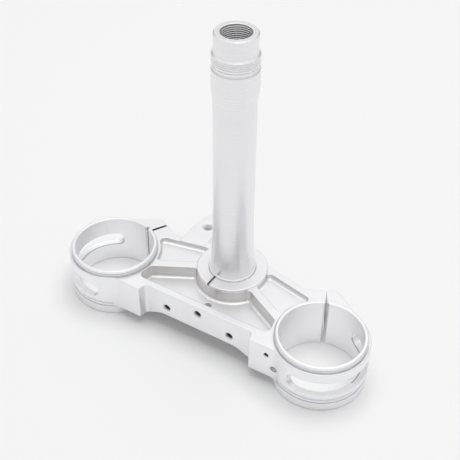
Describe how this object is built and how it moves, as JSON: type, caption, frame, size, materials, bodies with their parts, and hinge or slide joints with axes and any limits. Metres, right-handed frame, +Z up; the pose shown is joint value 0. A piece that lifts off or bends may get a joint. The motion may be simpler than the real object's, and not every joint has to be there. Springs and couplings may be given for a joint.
{
  "type": "motorcycle triple clamp",
  "caption": "Lower fork clamp for a motorcycle: split sleeves hold the fork legs, a ribbed plate joins them to a hub with a pressed-in hollow steering stem.",
  "frame": {"origin": "on the stem axis, in the plane of the hub's raised bearing face", "axes": "+X from fork to fork (to the right as seen from the front of the picture), +Y to the rear of the motorcycle, +Z up along the steering stem"},
  "size_m": [0.2504, 0.1124, 0.2371],
  "materials": {
    "yoke": "satin",
    "stem": "turned"
  },
  "bodies": {
    "root": {"lower_yoke": "yoke", "steering_stem": "stem"}
  },
  "joints": []
}
